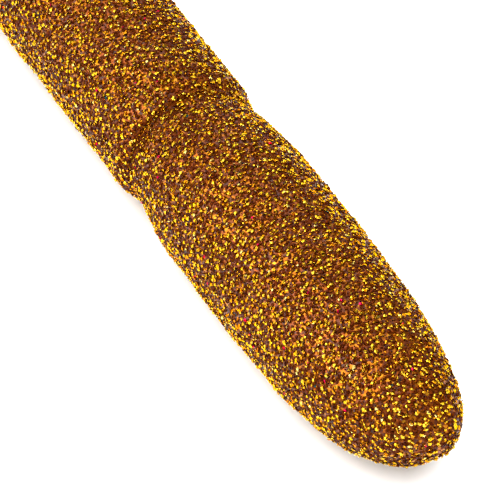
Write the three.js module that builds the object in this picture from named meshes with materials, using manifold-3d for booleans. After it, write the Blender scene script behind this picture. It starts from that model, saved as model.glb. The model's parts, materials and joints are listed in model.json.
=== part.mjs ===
// A stick for a rhythmic gymnastics ribbon, lying on a flat surface: a tapered fibreglass rod with a grip
// sleeve and a rounded end knob at the hand end, and at the other end a metal ferrule, an eye, a split ring,
// a barrel swivel and a small trigger snap hook that takes the eyelet of a ribbon.
// Millimetres, +Z up. +X runs from the knob to the snap hook. The origin is at the bottom centre of it all.
import * as THREE from "three";
import { mergeVertices } from "three/addons/utils/BufferGeometryUtils.js";
import Module from "manifold-3d";

const wasm = await Module();
wasm.setup();

// ---- Driving dimensions -------------------------------------------------------------------------

// Distances along the stick are measured from the end of the knob.
const STICK_LENGTH = 550; // to the front face of the ferrule
const FIT_GAP = 0.3; // left between two pieces that touch or are glued
const LIE_GAP = 0.04; // left under the swivel and the hook, which lie on the surface with the stick

const KNOB_R = 5.0; // the widest part of the stick
const KNOB_NOSE = 21.5; // from the rounded end to the widest ring
const KNOB_LENGTH = 29.7;
const KNOB_NECK_R = 4.0; // where the knob meets the sleeve
const KNOB_SOLID = 9; // solid rubber in front of the socket for the rod
const NOSE_FULLNESS = 3.9; // the two powers of the nose's outline: 2 and 2 would make it an ellipse
const NOSE_BLUNTNESS = 2.2;
const NOSE_LEAN = 0.8; // how far the very end stands off the axis, to the side away from the lever
const NOSE_LEAN_LENGTH = 10; // the part of the nose that leans
const NOSE_LEAN_POWER = 3; // how late the lean sets in
const NECK_POWER = 2.2; // how quickly the outline drops from the widest ring to the neck

const SPIGOT_R = 2.5; // the rod's thin end, inside the knob
const ROD_GRIP_R = 3.5;
const ROD_TIP_R = 2.6;

const SLEEVE_R = 4.7;
const SLEEVE_LENGTH = 68;
const SLEEVE_EDGE_R = 0.6; // rounding of the edge that overhangs the knob's neck
const SLEEVE_FRONT_R = 4.05; // the thin front end, under the band
const SLEEVE_TAPER = 13; // length over which it thins
const SLEEVE_FRONT = 5; // length of the thin front end

const BAND_WALL = 0.3;
const BAND_LENGTH = 7.2;
const BAND_LAP = 3.4; // how much of the band lies over the sleeve

const FERRULE_LENGTH = 15;
const FERRULE_WALL = 0.5;
const FERRULE_BEAD = 0.3; // how far the rolled rear lip stands out
const FERRULE_BEAD_LENGTH = 1.6;
const FERRULE_END_WALL = 1.5;
const FERRULE_CHAMFER = 0.8;
const PIN_R = 0.6; // rivet across the ferrule and the rod
const PIN_FROM_REAR = 4.5;

const EYE_WIRE_R = 0.7; // the eye in the rod's tip
const EYE_HOLE_R = 1.5;
const EYE_STAND_OFF = 0.4; // from the ferrule's face to the loop
const SHANK_TO_PIN = 1.4; // from the end of the eye's shank to the rivet

const RING_WIRE_R = 0.35;
const RING_SLACK = 1.3; // left between the two eyes inside the ring
const RING_TURN_GAP = 0.25; // between the two turns
const RING_STEP_DEG = 16; // half the angle over which one turn steps up to the next
const RING_END_DEG = 26; // from the step to each end of the wire

const LINK_WIRE_R = 0.45; // the swivel's two eyes
const LINK_HOLE_R = 1.3;
const LINK_NECK = 0.5; // from the loop to the barrel's end
const LINK_HEAD = 0.7; // thickness of the head that holds the eye in the barrel
const HEAD_INSET = 0.1; // how much smaller the head is than its washer
const WASHER = 0.4;
const BARREL_R = 2.0;
const BARREL_END_R = 1.45;
const BARREL_LENGTH = 6.8;
const BARREL_END_WALL = 0.9;
const BARREL_WALL = 0.45;

const SNAP_LENGTH = 23.4; // from the cross bar that the swivel holds to the end of the hook
const SNAP_SPINE = 5.6; // from the middle to the outside of the spine
const SNAP_GATE_SIDE = 3.9; // from the middle to the outside of the nose and the lever
const SNAP_THICKNESS = 3.0;
const SNAP_BAR = 1.3; // the bar inside the swivel's eye
const SNAP_HEAD_THICKNESS = 1.5;
const SNAP_HEAD_HALF_WIDTH = 2.6;
const SNAP_HEAD_CHAMFER = 1.0;
const SNAP_EYE_R = 1.4; // the hole beside the bar
const SNAP_RIM = 1.7; // width of metal round the hook
const SNAP_HOOK_START = 8.6; // where the opening begins
const SNAP_NOSE = 6.8; // from the end of the hook back to the tip of its nose
const SNAP_NECK = 0.6; // from the hole to the thick part
const SNAP_CORNER_R = 1.4; // inner corners of the opening
const LEVER_THICKNESS = 1.0;
const LEVER_WIDTH = 1.5;
const LEVER_HUB_R = 1.35;
const LEVER_SETBACK = 2.3; // from the opening back to the rivet
const LEVER_TONGUE = 1.5; // how far the lever reaches in under the nose
const LEVER_TONGUE_WIDTH = 0.6;
const TAB_START = 3.3; // from the rivet to the thumb tab
const TAB_LENGTH = 2.6;
const TAB_HEIGHT = 1.7;
const RIVET_R = 0.5;
const SPRING_THICKNESS = 0.25; // the leaf spring under the lever
const SPRING_WIDTH = 0.9;

const HANDLE_SIDES = 32;
const ROUND_SIDES = 24;
const WIRE_SIDES = 8;
const NOSE_STEPS = 14; // rings along the knob's nose and its neck
const NECK_STEPS = 6;
const EDGE_STEPS = 4; // rings round the sleeve's edge
const CORNER_STEPS = 8; // sides round each corner of the flat hook
const RING_STEPS = 60; // sections along the split ring's wire
const MERGE_WITHIN = 1e-4; // vertices this close are one

// ---- Worked-out sizes ---------------------------------------------------------------------------

const sleeveStart = KNOB_LENGTH + FIT_GAP;
const sleeveEnd = sleeveStart + SLEEVE_LENGTH;
const bandStart = sleeveEnd - BAND_LAP;
const bandEnd = bandStart + BAND_LENGTH;
const ferruleStart = STICK_LENGTH - FERRULE_LENGTH;
const rodEnd = STICK_LENGTH - FERRULE_END_WALL - FIT_GAP;
const ferruleR = ROD_TIP_R + FIT_GAP + FERRULE_WALL;
const ferruleBeadR = ferruleR + FERRULE_BEAD;
const pinX = ferruleStart + PIN_FROM_REAR;

const eyeLoopR = EYE_HOLE_R + EYE_WIRE_R; // to the middle of the wire
const eyeX = STICK_LENGTH + EYE_STAND_OFF + eyeLoopR + EYE_WIRE_R;
const eyeShankEnd = pinX + PIN_R + SHANK_TO_PIN;

const linkLoopR = LINK_HOLE_R + LINK_WIRE_R;
const ringR = (eyeLoopR + EYE_WIRE_R + linkLoopR + LINK_WIRE_R + RING_SLACK) / 2;
const ringPitch = 2 * RING_WIRE_R + RING_TURN_GAP;
const barrelStart = linkLoopR + LINK_WIRE_R + LINK_NECK; // from the middle of a loop to the barrel
const swivelReach = 2 * barrelStart + BARREL_LENGTH; // between the middles of the two loops
const barrelCavityR = BARREL_R - BARREL_WALL;
const boreR = LINK_WIRE_R + FIT_GAP;
const washerR = barrelCavityR - FIT_GAP;
const headR = washerR - HEAD_INSET;

const snapEyeX = SNAP_BAR / 2 + SNAP_EYE_R;
const snapBack = SNAP_BAR / 2 + 2 * SNAP_EYE_R + SNAP_NECK; // where the thick part begins
const spineInnerY = -SNAP_SPINE + SNAP_RIM;
const noseInnerY = SNAP_GATE_SIDE - SNAP_RIM;
const snapInnerEnd = SNAP_LENGTH - SNAP_RIM;
const leverY = SNAP_GATE_SIDE - LEVER_WIDTH / 2;
const leverInnerY = SNAP_GATE_SIDE - LEVER_WIDTH;
const tongueInnerY = noseInnerY - FIT_GAP - LEVER_TONGUE_WIDTH;
const noseX = SNAP_LENGTH - SNAP_NOSE;
const armEnd = noseX - FIT_GAP;
const pivotX = SNAP_HOOK_START - LEVER_SETBACK;
const tabX = pivotX + TAB_START;
const slotWidth = LEVER_THICKNESS + 2 * FIT_GAP;
const slotStart = pivotX - LEVER_HUB_R - FIT_GAP;
const springBendX = pivotX + LEVER_HUB_R;
const springTipX = (springBendX + armEnd - LEVER_TONGUE) / 2;
const slotFloorY = leverY - LEVER_HUB_R - SPRING_THICKNESS - 2 * FIT_GAP;

// The stick lies on the knob's widest ring and on the ferrule's bead, so it slopes a little.
const stickTilt = Math.atan(
  (KNOB_R - ferruleBeadR) / (ferruleStart + FERRULE_BEAD_LENGTH / 2 - KNOB_NOSE),
);
const stickZ = KNOB_R + KNOB_NOSE * Math.sin(stickTilt);
const eyeZ = stickZ - eyeX * Math.sin(stickTilt);
// The swivel lies flat, and the ring and the hook slope down from what holds them.
const swivelZ = Math.max(linkLoopR + LINK_WIRE_R, BARREL_R) + LIE_GAP;
const ringTilt = Math.asin((eyeZ - swivelZ) / (2 * ringR));
const snapTilt = Math.asin((swivelZ - SNAP_THICKNESS / 2 - LIE_GAP) / SNAP_LENGTH);

// ---- Materials ----------------------------------------------------------------------------------

const glitter = new THREE.MeshStandardMaterial({ color: 0xa5690f, roughness: 0.4, metalness: 0.7 });
const goldTape = new THREE.MeshStandardMaterial({ color: 0xb98524, roughness: 0.3, metalness: 0.8 });
const nickel = new THREE.MeshStandardMaterial({ color: 0xc9c4ba, roughness: 0.25, metalness: 1 });
const brass = new THREE.MeshStandardMaterial({ color: 0xb08d45, roughness: 0.35, metalness: 1 });
const springSteel = new THREE.MeshStandardMaterial({ color: 0x9a9a9a, roughness: 0.35, metalness: 1 });

// ---- Shape helpers ------------------------------------------------------------------------------

// Turns a profile of [x, radius] pairs about the X axis, with a flat side facing down.
function turned(profile, sides) {
  const points = profile.map(([x, r]) => new THREE.Vector2(r, x));
  const geometry = new THREE.LatheGeometry(points, sides, Math.PI / sides, 2 * Math.PI);
  return geometry.rotateZ(-Math.PI / 2);
}

// A tube from profile pairs: out along the outer surface and back along the bore.
function turnedTube(outer, inner, sides) {
  return turned([...outer, ...[...inner].reverse(), outer[0]], sides);
}

// A quarter circle of pairs round (x, r), from one angle to another, in degrees from the +X direction.
function arc(x, r, radius, fromDeg, toDeg, steps) {
  return Array.from({ length: steps + 1 }, (_, i) => {
    const a = THREE.MathUtils.degToRad(fromDeg + ((toDeg - fromDeg) * i) / steps);
    return [x + radius * Math.cos(a), r + radius * Math.sin(a)];
  });
}

// A three.js geometry as a manifold-3d solid, and back.
function solidOf(geometry) {
  const bare = geometry.clone();
  bare.deleteAttribute("normal");
  bare.deleteAttribute("uv");
  const merged = mergeVertices(bare, MERGE_WITHIN);
  return new wasm.Manifold(
    new wasm.Mesh({
      numProp: 3,
      vertProperties: new Float32Array(merged.attributes.position.array),
      triVerts: new Uint32Array(merged.index.array),
    }),
  );
}

function geometryOf(solid) {
  const mesh = solid.getMesh();
  const geometry = new THREE.BufferGeometry();
  geometry.setAttribute("position", new THREE.BufferAttribute(mesh.vertProperties, 3));
  geometry.setIndex(new THREE.BufferAttribute(mesh.triVerts, 1));
  geometry.computeVertexNormals();
  return geometry;
}

// A round bar along X, from one distance to another.
function barX(radius, from, to, sides) {
  return turned([[from, 0], [from, radius], [to, radius], [to, 0]], sides);
}

// A round bar along Z, and one along Y, each centred on where it crosses the XY plane.
function barZ(radius, x, y, length, sides) {
  return new THREE.CylinderGeometry(radius, radius, length, sides).rotateX(Math.PI / 2).translate(x, y, 0);
}

function barY(radius, x, length, sides) {
  return new THREE.CylinderGeometry(radius, radius, length, sides).translate(x, 0, 0);
}

// A wire loop standing in the XZ plane, so that its hole looks along Y.
function loopY(loopR, wireR, sides) {
  return new THREE.TorusGeometry(loopR, wireR, WIRE_SIDES, sides).rotateX(Math.PI / 2);
}

// A flat plate of a 2-D outline, centred on Z = 0.
function plate(shape, thickness) {
  const flat = new THREE.ExtrudeGeometry(shape, {
    depth: thickness,
    bevelEnabled: false,
    curveSegments: CORNER_STEPS,
  });
  return flat.translate(0, 0, -thickness / 2);
}

function mesh(name, geometry, material) {
  const made = new THREE.Mesh(geometry, material);
  made.name = name;
  return made;
}

// ---- The stick ----------------------------------------------------------------------------------

// The rod: a thin spigot in the knob, a straight stretch in the sleeve, then a long taper to the tip, which
// is bored for the eye's shank and drilled across for the rivet.
function shaftRod() {
  const rod = turned(
    [
      [KNOB_SOLID, 0],
      [KNOB_SOLID, SPIGOT_R],
      [sleeveStart + FIT_GAP, SPIGOT_R],
      [sleeveStart + FIT_GAP, ROD_GRIP_R],
      [bandEnd, ROD_GRIP_R],
      [ferruleStart - FIT_GAP, ROD_TIP_R],
      [rodEnd, ROD_TIP_R],
      [rodEnd, 0],
    ],
    ROUND_SIDES,
  );
  const bore = barX(EYE_WIRE_R + FIT_GAP, eyeShankEnd - FIT_GAP, rodEnd + FIT_GAP, ROUND_SIDES / 2);
  const crossHole = barY(PIN_R + FIT_GAP, pinX, 4 * ROD_TIP_R, ROUND_SIDES / 2);
  const drilled = solidOf(rod).subtract(solidOf(bore)).subtract(solidOf(crossHole));
  return mesh("shaft_rod", geometryOf(drilled), glitter);
}

// The knob: r = R (1 - u^fullness)^(1/bluntness) over the nose, then a falling power curve to the neck.
function knobOutline() {
  const outline = [];
  for (let i = 0; i <= NOSE_STEPS; i++) {
    const x = KNOB_NOSE * (1 - Math.cos((i / NOSE_STEPS) * (Math.PI / 2)));
    const u = 1 - x / KNOB_NOSE;
    outline.push([x, KNOB_R * (1 - u ** NOSE_FULLNESS) ** (1 / NOSE_BLUNTNESS)]);
  }
  for (let i = 1; i <= NECK_STEPS; i++) {
    const u = i / NECK_STEPS;
    const x = KNOB_NOSE + (KNOB_LENGTH - KNOB_NOSE) * u;
    outline.push([x, KNOB_NECK_R + (KNOB_R - KNOB_NECK_R) * (1 - u ** NECK_POWER)]);
  }
  return outline;
}

// A section of the nose is shifted in Y by -lean (1 - x / lean length)^power.
function leanNose(geometry) {
  const points = geometry.getAttribute("position");
  for (let i = 0; i < points.count; i++) {
    const u = Math.max(0, 1 - points.getX(i) / NOSE_LEAN_LENGTH);
    points.setY(i, points.getY(i) - NOSE_LEAN * u ** NOSE_LEAN_POWER);
  }
  return geometry;
}

function endKnob() {
  const socketR = SPIGOT_R + FIT_GAP;
  const socketEnd = KNOB_SOLID - FIT_GAP;
  const profile = [...knobOutline(), [KNOB_LENGTH, socketR], [socketEnd, socketR], [socketEnd, 0]];
  return mesh("end_knob", leanNose(turned(profile, HANDLE_SIDES)), glitter);
}

function gripSleeve() {
  const boreOfSleeve = ROD_GRIP_R + FIT_GAP;
  const frontStart = sleeveEnd - SLEEVE_FRONT;
  const outer = [
    ...arc(sleeveStart + SLEEVE_EDGE_R, SLEEVE_R - SLEEVE_EDGE_R, SLEEVE_EDGE_R, 180, 90, EDGE_STEPS),
    [frontStart - SLEEVE_TAPER, SLEEVE_R],
    [frontStart, SLEEVE_FRONT_R],
    [sleeveEnd, SLEEVE_FRONT_R],
  ];
  const inner = [
    [sleeveStart, boreOfSleeve],
    [sleeveEnd, boreOfSleeve],
  ];
  return mesh("grip_sleeve", turnedTube(outer, inner, HANDLE_SIDES), glitter);
}

// The band laps the sleeve's thin front end and the rod in front of it.
function gripBand() {
  const overSleeve = SLEEVE_FRONT_R + FIT_GAP;
  const overRod = ROD_GRIP_R + FIT_GAP;
  const stepX = sleeveEnd + FIT_GAP;
  const outer = [
    [bandStart, overSleeve + BAND_WALL],
    [stepX + BAND_WALL, overSleeve + BAND_WALL],
    [stepX + 2 * BAND_WALL, overRod + BAND_WALL],
    [bandEnd, overRod + BAND_WALL],
  ];
  const inner = [
    [bandStart, overSleeve],
    [stepX, overSleeve],
    [stepX, overRod],
    [bandEnd, overRod],
  ];
  return mesh("grip_band", turnedTube(outer, inner, HANDLE_SIDES), goldTape);
}

function tipFerrule() {
  const socketR = ROD_TIP_R + FIT_GAP;
  const socketEnd = STICK_LENGTH - FERRULE_END_WALL;
  const shankHoleR = EYE_WIRE_R + FIT_GAP;
  const beadEnd = ferruleStart + FERRULE_BEAD_LENGTH;
  const outer = [
    [ferruleStart, ferruleR],
    [ferruleStart + FERRULE_BEAD, ferruleBeadR],
    [beadEnd - FERRULE_BEAD, ferruleBeadR],
    [beadEnd, ferruleR],
    [STICK_LENGTH - FERRULE_CHAMFER, ferruleR],
    [STICK_LENGTH, ferruleR - FERRULE_CHAMFER],
  ];
  const inner = [
    [ferruleStart, socketR],
    [socketEnd, socketR],
    [socketEnd, shankHoleR],
    [STICK_LENGTH, shankHoleR],
  ];
  const cap = solidOf(turnedTube(outer, inner, ROUND_SIDES));
  const crossHole = solidOf(barY(PIN_R + FIT_GAP, pinX, 4 * ferruleR, ROUND_SIDES / 2));
  return mesh("tip_ferrule", geometryOf(cap.subtract(crossHole)), nickel);
}

function ferrulePin() {
  return mesh("ferrule_pin", barY(PIN_R, pinX, 2 * ferruleR, ROUND_SIDES / 2), nickel);
}

function tipEye() {
  const loop = solidOf(loopY(eyeLoopR, EYE_WIRE_R, ROUND_SIDES).translate(eyeX, 0, 0));
  const shank = solidOf(barX(EYE_WIRE_R, eyeShankEnd, eyeX - eyeLoopR, WIRE_SIDES));
  return mesh("tip_eye", geometryOf(loop.add(shank)), nickel);
}

// ---- The split ring -----------------------------------------------------------------------------

// The ring's wire: two flat turns, one above the other, joined by a short step beside the ends.
class SplitRingCurve extends THREE.Curve {
  getPoint(t, target = new THREE.Vector3()) {
    const step = THREE.MathUtils.degToRad(RING_STEP_DEG);
    const ends = THREE.MathUtils.degToRad(RING_END_DEG);
    const angle = ends + t * (4 * Math.PI - 2 * ends);
    const rise = THREE.MathUtils.smoothstep(angle, 2 * Math.PI - step, 2 * Math.PI + step) - 0.5;
    const turn = angle - Math.PI / 2; // the step is on the -Y side
    return target.set(ringR * (1 + Math.cos(turn)), ringR * Math.sin(turn), ringPitch * rise);
  }
}

function splitRing() {
  const section = new THREE.Shape();
  section.absarc(0, 0, RING_WIRE_R, 0, 2 * Math.PI);
  const geometry = new THREE.ExtrudeGeometry(section, {
    extrudePath: new SplitRingCurve(),
    steps: RING_STEPS,
    curveSegments: WIRE_SIDES / 2,
  });
  return mesh("split_ring", geometry, nickel);
}

// ---- The barrel swivel --------------------------------------------------------------------------

// A swivel eye, with its loop at the origin and its shank and head along +X, inside the barrel.
function swivelEye(name) {
  const headStart = barrelStart + BARREL_END_WALL + WASHER + 2 * FIT_GAP;
  const loop = solidOf(loopY(linkLoopR, LINK_WIRE_R, ROUND_SIDES));
  const shank = solidOf(barX(LINK_WIRE_R, linkLoopR, headStart + LINK_HEAD / 2, WIRE_SIDES));
  const head = solidOf(barX(headR, headStart, headStart + LINK_HEAD, ROUND_SIDES / 2));
  return mesh(name, geometryOf(loop.add(shank).add(head)), nickel);
}

// A thrust washer between an eye's head and the barrel's end wall.
function swivelWasher(name) {
  const start = barrelStart + BARREL_END_WALL + FIT_GAP;
  const outer = [
    [start, washerR],
    [start + WASHER, washerR],
  ];
  const inner = [
    [start, boreR],
    [start + WASHER, boreR],
  ];
  return mesh(name, turnedTube(outer, inner, ROUND_SIDES / 2), brass);
}

function swivelBarrel() {
  const end = barrelStart + BARREL_LENGTH;
  const shoulder = (BARREL_R - BARREL_END_R) * 2;
  const outer = [
    [barrelStart, BARREL_END_R],
    [barrelStart + shoulder / 2, BARREL_R - (BARREL_R - BARREL_END_R) / 4],
    [barrelStart + shoulder, BARREL_R],
    [end - shoulder, BARREL_R],
    [end - shoulder / 2, BARREL_R - (BARREL_R - BARREL_END_R) / 4],
    [end, BARREL_END_R],
  ];
  const inner = [
    [barrelStart, boreR],
    [barrelStart + BARREL_END_WALL, boreR],
    [barrelStart + BARREL_END_WALL, barrelCavityR],
    [end - BARREL_END_WALL, barrelCavityR],
    [end - BARREL_END_WALL, boreR],
    [end, boreR],
  ];
  return mesh("swivel_barrel", turnedTube(outer, inner, ROUND_SIDES), brass);
}

// ---- The snap hook ------------------------------------------------------------------------------

// The hook's outline in its own plane: a C that the lever closes on the +Y side.
function hookShape() {
  const outerR = SNAP_CORNER_R + SNAP_RIM;
  const right = Math.PI / 2;
  const innerX = [SNAP_HOOK_START + SNAP_CORNER_R, snapInnerEnd - SNAP_CORNER_R];
  const innerLowY = spineInnerY + SNAP_CORNER_R;
  const shape = new THREE.Shape();
  shape.absarc(snapBack + outerR, -SNAP_SPINE + outerR, outerR, 2 * right, 3 * right);
  shape.absarc(SNAP_LENGTH - outerR, -SNAP_SPINE + outerR, outerR, 3 * right, 4 * right);
  shape.absarc(SNAP_LENGTH - outerR, SNAP_GATE_SIDE - outerR, outerR, 0, right);
  shape.lineTo(noseX, SNAP_GATE_SIDE);
  shape.lineTo(noseX, noseInnerY);
  shape.absarc(innerX[1], noseInnerY - SNAP_CORNER_R, SNAP_CORNER_R, right, 0, true);
  shape.absarc(innerX[1], innerLowY, SNAP_CORNER_R, 0, -right, true);
  shape.absarc(innerX[0], innerLowY, SNAP_CORNER_R, -right, -2 * right, true);
  shape.lineTo(SNAP_HOOK_START, SNAP_GATE_SIDE);
  shape.absarc(snapBack + SNAP_RIM, SNAP_GATE_SIDE - SNAP_RIM, SNAP_RIM, right, 2 * right);
  shape.closePath();
  return shape;
}

// The head: a thinner tongue with the hole for the swivel's eye and the bar that the eye goes round.
function headShape() {
  const start = -SNAP_BAR / 2;
  const end = SNAP_HOOK_START - SNAP_RIM;
  const half = SNAP_HEAD_HALF_WIDTH;
  const shape = new THREE.Shape();
  shape.moveTo(end, half);
  shape.lineTo(start + SNAP_HEAD_CHAMFER, half);
  shape.lineTo(start, half - SNAP_HEAD_CHAMFER);
  shape.lineTo(start, -half + SNAP_HEAD_CHAMFER);
  shape.lineTo(start + SNAP_HEAD_CHAMFER, -half);
  shape.lineTo(end, -half);
  shape.closePath();
  const hole = new THREE.Path();
  hole.absarc(snapEyeX, 0, SNAP_EYE_R, 0, 2 * Math.PI, true);
  shape.holes.push(hole);
  return shape;
}

// The slot runs from behind the lever's hub out into the opening, between two cheeks.
function leverSlot() {
  const slotEnd = SNAP_HOOK_START + FIT_GAP;
  const slot = new THREE.Shape();
  slot.moveTo(slotStart, slotFloorY);
  slot.lineTo(slotEnd, slotFloorY);
  slot.lineTo(slotEnd, 2 * SNAP_GATE_SIDE);
  slot.lineTo(slotStart, 2 * SNAP_GATE_SIDE);
  slot.closePath();
  return plate(slot, slotWidth);
}

function snapBody() {
  const hook = solidOf(plate(hookShape(), SNAP_THICKNESS));
  const head = solidOf(plate(headShape(), SNAP_HEAD_THICKNESS));
  const rivetHole = barZ(RIVET_R + FIT_GAP, pivotX, leverY, 2 * SNAP_THICKNESS, ROUND_SIDES / 2);
  const body = hook.add(head).subtract(solidOf(leverSlot())).subtract(solidOf(rivetHole));
  return mesh("snap_body", geometryOf(body), nickel);
}

// The lever: a hub on the rivet, an arm to the nose, a tongue under the nose and a thumb tab outside.
function snapLever() {
  const outer = SNAP_GATE_SIDE;
  const shape = new THREE.Shape();
  shape.moveTo(pivotX, outer);
  shape.lineTo(tabX, outer);
  shape.lineTo(tabX + TAB_LENGTH / 3, outer + TAB_HEIGHT);
  shape.lineTo(tabX + (2 * TAB_LENGTH) / 3, outer + TAB_HEIGHT);
  shape.lineTo(tabX + TAB_LENGTH, outer);
  shape.lineTo(armEnd, outer);
  shape.lineTo(armEnd, noseInnerY - FIT_GAP);
  shape.lineTo(armEnd + LEVER_TONGUE, noseInnerY - FIT_GAP);
  shape.lineTo(armEnd + LEVER_TONGUE, tongueInnerY);
  shape.lineTo(armEnd - LEVER_TONGUE, tongueInnerY);
  shape.lineTo(springTipX, leverInnerY);
  shape.lineTo(pivotX, leverInnerY);
  shape.closePath();
  const arm = solidOf(plate(shape, LEVER_THICKNESS));
  const hub = solidOf(barZ(LEVER_HUB_R, pivotX, leverY, LEVER_THICKNESS, ROUND_SIDES));
  const hole = solidOf(barZ(RIVET_R + FIT_GAP, pivotX, leverY, 2 * LEVER_THICKNESS, ROUND_SIDES / 2));
  return mesh("snap_lever", geometryOf(arm.add(hub).subtract(hole)), nickel);
}

// A leaf spring: flat on the slot's floor under the hub, then rising to the lever's arm.
function leverSpring() {
  const floorY = slotFloorY + FIT_GAP;
  const tipY = leverInnerY - FIT_GAP - SPRING_THICKNESS;
  const shape = new THREE.Shape();
  shape.moveTo(slotStart + FIT_GAP, floorY);
  shape.lineTo(springBendX, floorY);
  shape.lineTo(springTipX, tipY);
  shape.lineTo(springTipX, tipY + SPRING_THICKNESS);
  shape.lineTo(springBendX, floorY + SPRING_THICKNESS);
  shape.lineTo(slotStart + FIT_GAP, floorY + SPRING_THICKNESS);
  shape.closePath();
  return mesh("lever_spring", plate(shape, SPRING_WIDTH), springSteel);
}

function leverRivet() {
  return mesh("lever_rivet", barZ(RIVET_R, pivotX, leverY, SNAP_THICKNESS, ROUND_SIDES / 2), nickel);
}

// ---- The scene graph ----------------------------------------------------------------------------

// A named group for one moving assembly, at its own joint and slope.
function assembly(name, x, z, tilt, ...pieces) {
  const group = new THREE.Group();
  group.name = name;
  group.position.set(x, 0, z);
  group.rotation.y = tilt;
  group.add(...pieces);
  return group;
}

const eyeWorldX = eyeX * Math.cos(stickTilt);
const swivelX = eyeWorldX + 2 * ringR * Math.cos(ringTilt);
const snapX = swivelX + swivelReach;

// The lower eye and its washer are the upper ones turned end for end.
function turnedRound(piece) {
  piece.rotation.z = Math.PI;
  piece.position.x = swivelReach;
  return piece;
}

function tipFittings() {
  return [tipFerrule(), ferrulePin(), tipEye()];
}

function washers() {
  return [swivelWasher("upper_washer"), turnedRound(swivelWasher("lower_washer"))];
}

const wand = new THREE.Group();
wand.name = "ribbon_wand";
wand.add(
  assembly("stick", 0, stickZ, stickTilt, endKnob(), gripSleeve(), gripBand(), shaftRod(), ...tipFittings()),
  assembly("ring", eyeWorldX, eyeZ, ringTilt, splitRing()),
  assembly("upper_eye", swivelX, swivelZ, 0, swivelEye("swivel_upper_eye")),
  assembly("barrel", swivelX, swivelZ, 0, swivelBarrel(), ...washers()),
  assembly("lower_eye", swivelX, swivelZ, 0, turnedRound(swivelEye("swivel_lower_eye"))),
  assembly("snap", snapX, swivelZ, snapTilt, snapBody(), leverRivet(), leverSpring()),
  assembly("lever", snapX, swivelZ, snapTilt, snapLever()),
);

// The origin goes to the bottom centre of the whole.
const box = new THREE.Box3().setFromObject(wand, true);
const middle = box.getCenter(new THREE.Vector3());
wand.children.forEach((group) => group.position.sub(new THREE.Vector3(middle.x, middle.y, box.min.z)));

export default wand;
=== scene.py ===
import json
import math

import bmesh
import bpy
import numpy as np
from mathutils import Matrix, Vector


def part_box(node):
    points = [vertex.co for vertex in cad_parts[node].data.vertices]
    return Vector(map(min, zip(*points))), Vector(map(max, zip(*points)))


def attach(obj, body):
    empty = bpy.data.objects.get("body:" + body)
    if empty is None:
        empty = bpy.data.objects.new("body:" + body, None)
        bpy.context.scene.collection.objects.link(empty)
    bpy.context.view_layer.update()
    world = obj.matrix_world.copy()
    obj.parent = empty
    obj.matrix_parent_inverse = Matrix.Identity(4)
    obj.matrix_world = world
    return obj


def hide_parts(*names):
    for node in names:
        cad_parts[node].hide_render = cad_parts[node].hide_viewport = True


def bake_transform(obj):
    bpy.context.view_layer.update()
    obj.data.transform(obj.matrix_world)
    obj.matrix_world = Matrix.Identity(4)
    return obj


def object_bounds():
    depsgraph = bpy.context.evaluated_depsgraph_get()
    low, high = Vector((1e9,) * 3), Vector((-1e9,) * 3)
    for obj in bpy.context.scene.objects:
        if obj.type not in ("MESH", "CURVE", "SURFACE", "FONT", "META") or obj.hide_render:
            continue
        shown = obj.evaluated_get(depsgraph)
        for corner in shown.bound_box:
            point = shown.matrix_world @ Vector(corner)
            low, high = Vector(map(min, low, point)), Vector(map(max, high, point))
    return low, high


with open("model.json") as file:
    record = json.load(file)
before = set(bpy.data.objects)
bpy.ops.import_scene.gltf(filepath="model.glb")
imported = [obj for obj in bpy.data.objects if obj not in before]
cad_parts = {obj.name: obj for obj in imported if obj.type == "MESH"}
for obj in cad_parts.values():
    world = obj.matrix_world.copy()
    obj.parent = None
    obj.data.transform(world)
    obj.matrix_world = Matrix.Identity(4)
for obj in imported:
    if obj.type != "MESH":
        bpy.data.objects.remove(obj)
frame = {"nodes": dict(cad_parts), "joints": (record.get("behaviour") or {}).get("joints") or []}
CAD_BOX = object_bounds()

bl_info = {
    "name": "Ribbon Stick",
    "version": (1, 0, 0),
    "blender": (4, 5, 0),
    "location": "3D View > Sidebar > Ribbon Stick",
    "description": "Builds the surfaces, finishes and stage of a rhythmic gymnastics ribbon stick",
    "category": "Add Mesh",
}

MM = 0.001
TAU = 2 * math.pi
CLEAR = 0.02 * MM  # left between two surfaces that touch
SAME_POINT = 1e-4 * MM  # points closer than this are one
NO_LENGTH = 1e-5 * MM  # an edge shorter than this has no length
MAP_EDGE = 0.001  # left free round a map for baking
MERGE_CAD = 1e-3 * MM  # points of a CAD mesh closer than this are one
FLAT_WITHIN = 1  # degrees between two CAD faces that count as one
SHARP_FROM = 32  # degrees between two CAD faces that meet in a sharp edge


# ---- Places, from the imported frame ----


def unit(vectors):
    """One vector, or rows of them, at length 1."""
    vectors = np.asarray(vectors, float)
    return vectors / np.linalg.norm(vectors, axis=-1, keepdims=True)


class Place:
    """An origin and three axes square to each other: along the piece, level across it, and up from it."""

    def __init__(self, origin, along):
        along = unit(along)
        level = unit(np.cross((0, 0, 1), along))
        self.origin = np.asarray(origin, float)
        self.axes = np.array([along, level, np.cross(along, level)])

    def world(self, local):
        """Points given along, across and up, as points of the shared frame."""
        return self.origin + np.asarray(local, float) @ self.axes


def corners(node):
    """The two opposite corners of a CAD node's box."""
    return (np.array(corner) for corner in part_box(node))


def middle(node):
    """The middle of a CAD node's box."""
    return sum(corners(node)) / 2


def joint(name):
    """A joint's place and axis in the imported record."""
    row = next(j for j in frame["joints"] if j["name"] == name)
    return np.array(row["pos_m"]), np.array(row["axis"], float)


KNOB_NOSE = 21.5 * MM  # from the rounded end to the widest ring, where the knob touches the floor
KNOB_LOW, KNOB_HIGH = corners("end_knob")
WIDEST = np.array((KNOB_LOW[0] + KNOB_NOSE, 0, (KNOB_LOW[2] + KNOB_HIGH[2]) / 2))
STICK_WAY = unit(middle("ferrule_pin") - WIDEST)
STICK = Place(WIDEST - STICK_WAY * KNOB_NOSE, STICK_WAY)

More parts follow.
